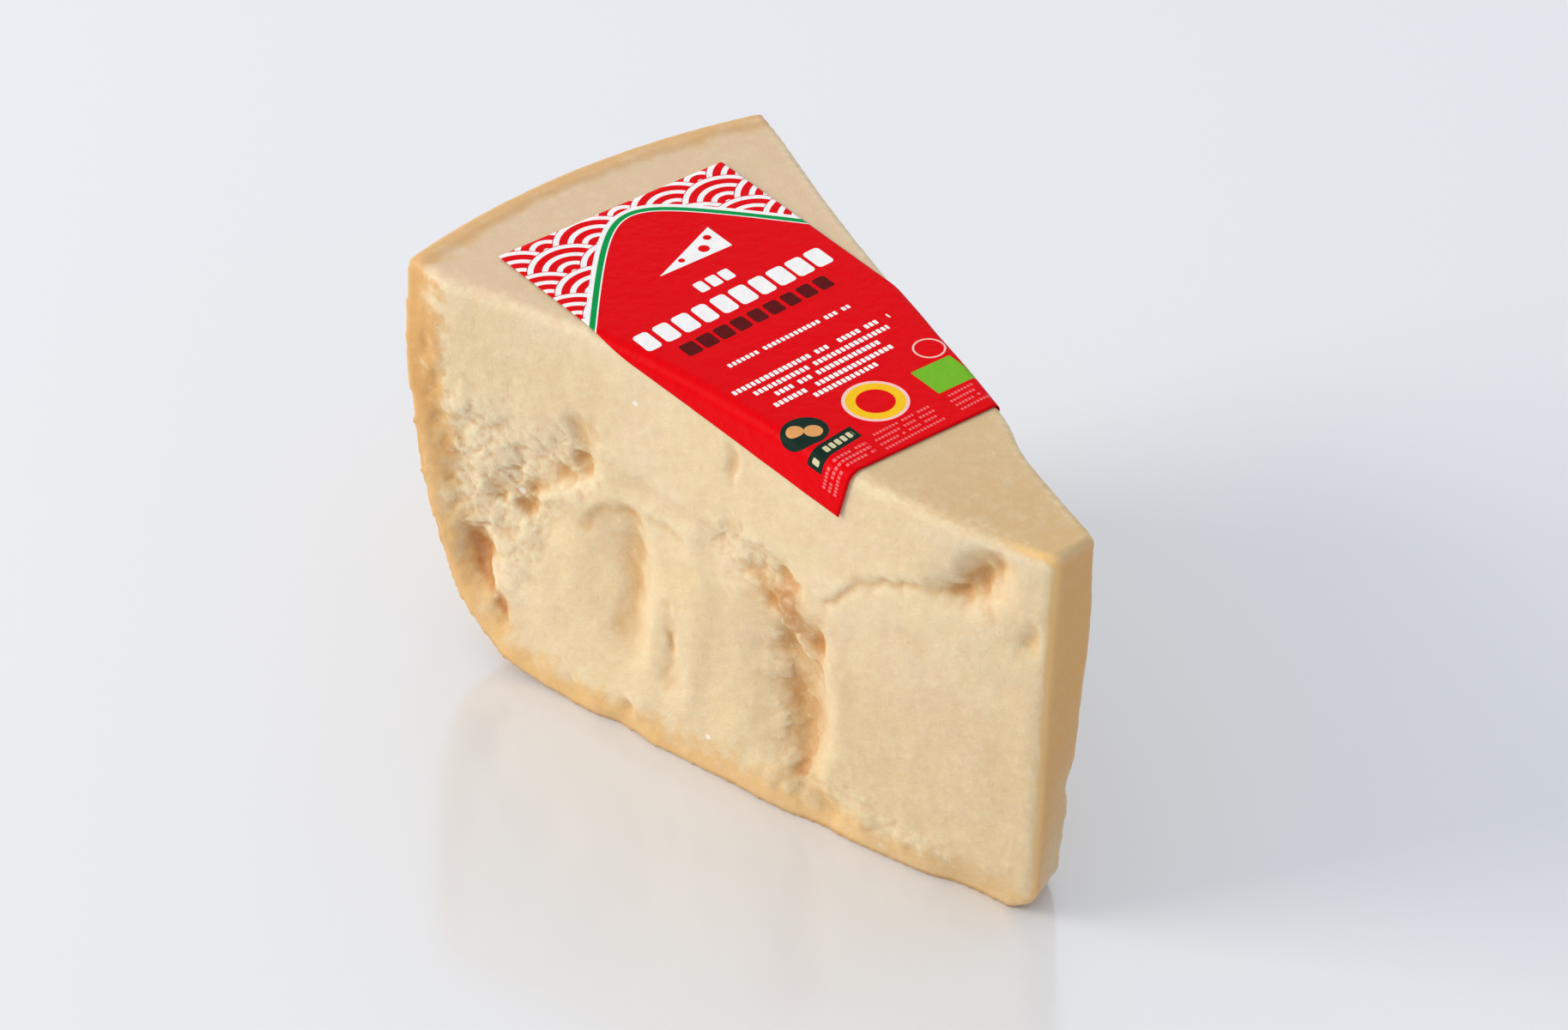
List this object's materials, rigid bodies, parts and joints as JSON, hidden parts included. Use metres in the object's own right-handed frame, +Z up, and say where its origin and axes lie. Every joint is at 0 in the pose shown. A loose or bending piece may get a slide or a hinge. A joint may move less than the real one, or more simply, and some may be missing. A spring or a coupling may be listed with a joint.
{
  "type": "parmesan chunk",
  "caption": "Chunk of hard grana cheese, broken as a wedge out of a half-height wheel, with its rind and a printed label folded over the cut top.",
  "frame": {"origin": "bottom centre of the bounding box, on the flat rind side that the chunk stands on", "axes": "+Z up, the rind at -X and the tip at +X, the broken side that shows in the picture at -Y"},
  "size_m": [0.2001, 0.113, 0.1156],
  "materials": {
    "cheese": "pale straw-yellow paste with a dry golden rind, slightly waxy",
    "label": null
  },
  "bodies": {
    "root": {"cheese": "cheese", "label": "label"}
  },
  "joints": []
}
